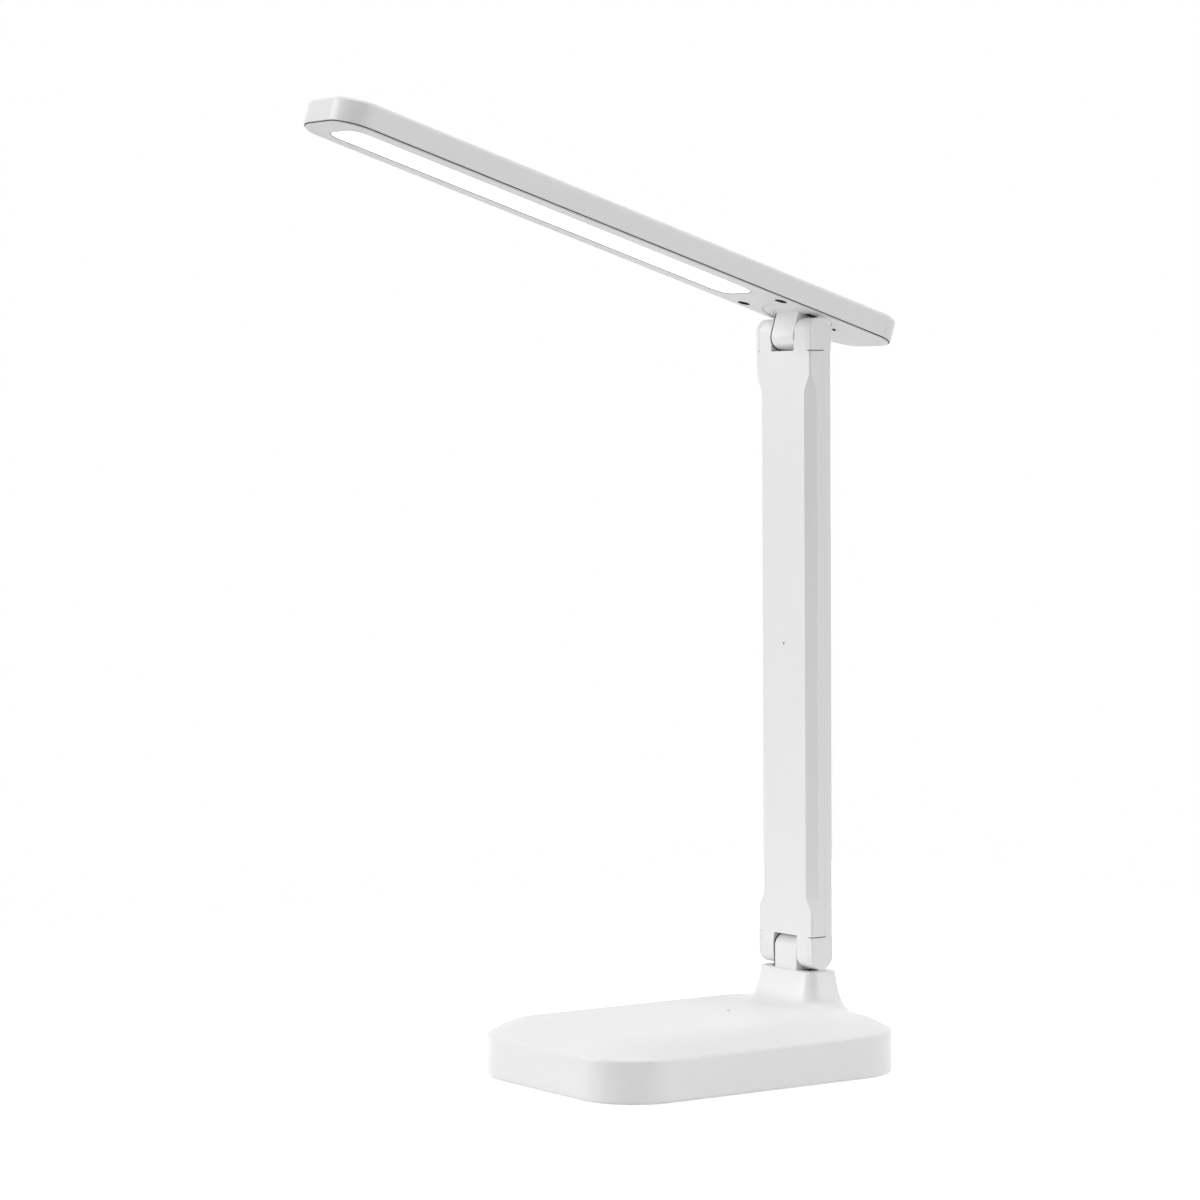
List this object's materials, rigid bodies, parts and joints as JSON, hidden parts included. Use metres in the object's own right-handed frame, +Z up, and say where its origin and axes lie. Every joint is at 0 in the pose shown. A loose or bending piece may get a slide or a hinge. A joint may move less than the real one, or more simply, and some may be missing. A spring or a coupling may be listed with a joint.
{
  "type": "folding desk lamp",
  "caption": "Slim white desk lamp: rounded flat base, flat arm that folds at both ends, and a long narrow head with a milky light panel that turns on a disc.",
  "frame": {"origin": "on the desk, below the middle of the base's outline", "axes": "+Z up, -Y the way the head points at rest, +X along the axes of both folding hinges"},
  "size_m": [0.1128, 0.2739, 0.3938],
  "materials": {
    "white_plastic": "fine satin white ABS",
    "rubber": "matt dark rubber",
    "steel": "plain zinc plated steel",
    "brass": "plain turned brass",
    "cell_wrap": "shrink film round a flat cell",
    "circuit_board": "solder mask",
    "board_part": "moulded component cases",
    "lead_jacket": "flat two-core lead",
    "indicator": "clear light pipe, off",
    "milky_panel": "milky acrylic, satin",
    "clear_guide": "clear edge-lit acrylic",
    "white_sheet": "white reflecting sheet",
    "led": "phosphor faced chips"
  },
  "bodies": {
    "base": {"base_shell": "white_plastic", "base_cover": "white_plastic", "base_feet": "rubber", "base_screws": "steel", "ballast_plate": "steel", "battery_pack": "cell_wrap", "main_board": "circuit_board", "board_parts": "board_part", "usb_socket": "steel", "touch_plate": "brass", "indicator_lens": "indicator", "base_knuckle": "white_plastic", "lower_bush": "brass", "base_knuckle_screws": "steel"},
    "arm": {"arm_front": "white_plastic", "arm_back": "white_plastic", "arm_spine": "steel", "arm_lead": "lead_jacket", "lower_shaft": "steel", "lower_washers": "brass", "lower_nut": "steel", "upper_shaft": "steel", "upper_washers": "brass", "upper_nut": "steel"},
    "knuckle": {"head_knuckle": "white_plastic", "upper_bush": "brass", "turntable_washer": "steel", "turntable_ring": "steel", "turntable_screws": "steel"},
    "head": {"head_shell": "white_plastic", "head_bezel": "white_plastic", "head_screws": "steel", "diffuser": "milky_panel", "light_guide": "clear_guide", "reflector": "white_sheet", "led_strips": "circuit_board", "led_chips": "led"}
  },
  "joints": [
    {"name": "arm_hinge", "type": "hinge", "parent": "base", "child": "arm", "pos_m": [0, 0.055, 0.046], "axis": [1, 0, 0], "range_deg": [-45, 90]},
    {"name": "head_hinge", "type": "hinge", "parent": "arm", "child": "knuckle", "pos_m": [0, 0.055, 0.306], "axis": [1, 0, 0], "range_deg": [-72.8, 107.2]},
    {"name": "head_swivel", "type": "hinge", "parent": "knuckle", "child": "head", "pos_m": [0, 0.055, 0.306], "axis": [0, 0.2957, 0.9553], "range_deg": [-90, 90]}
  ]
}
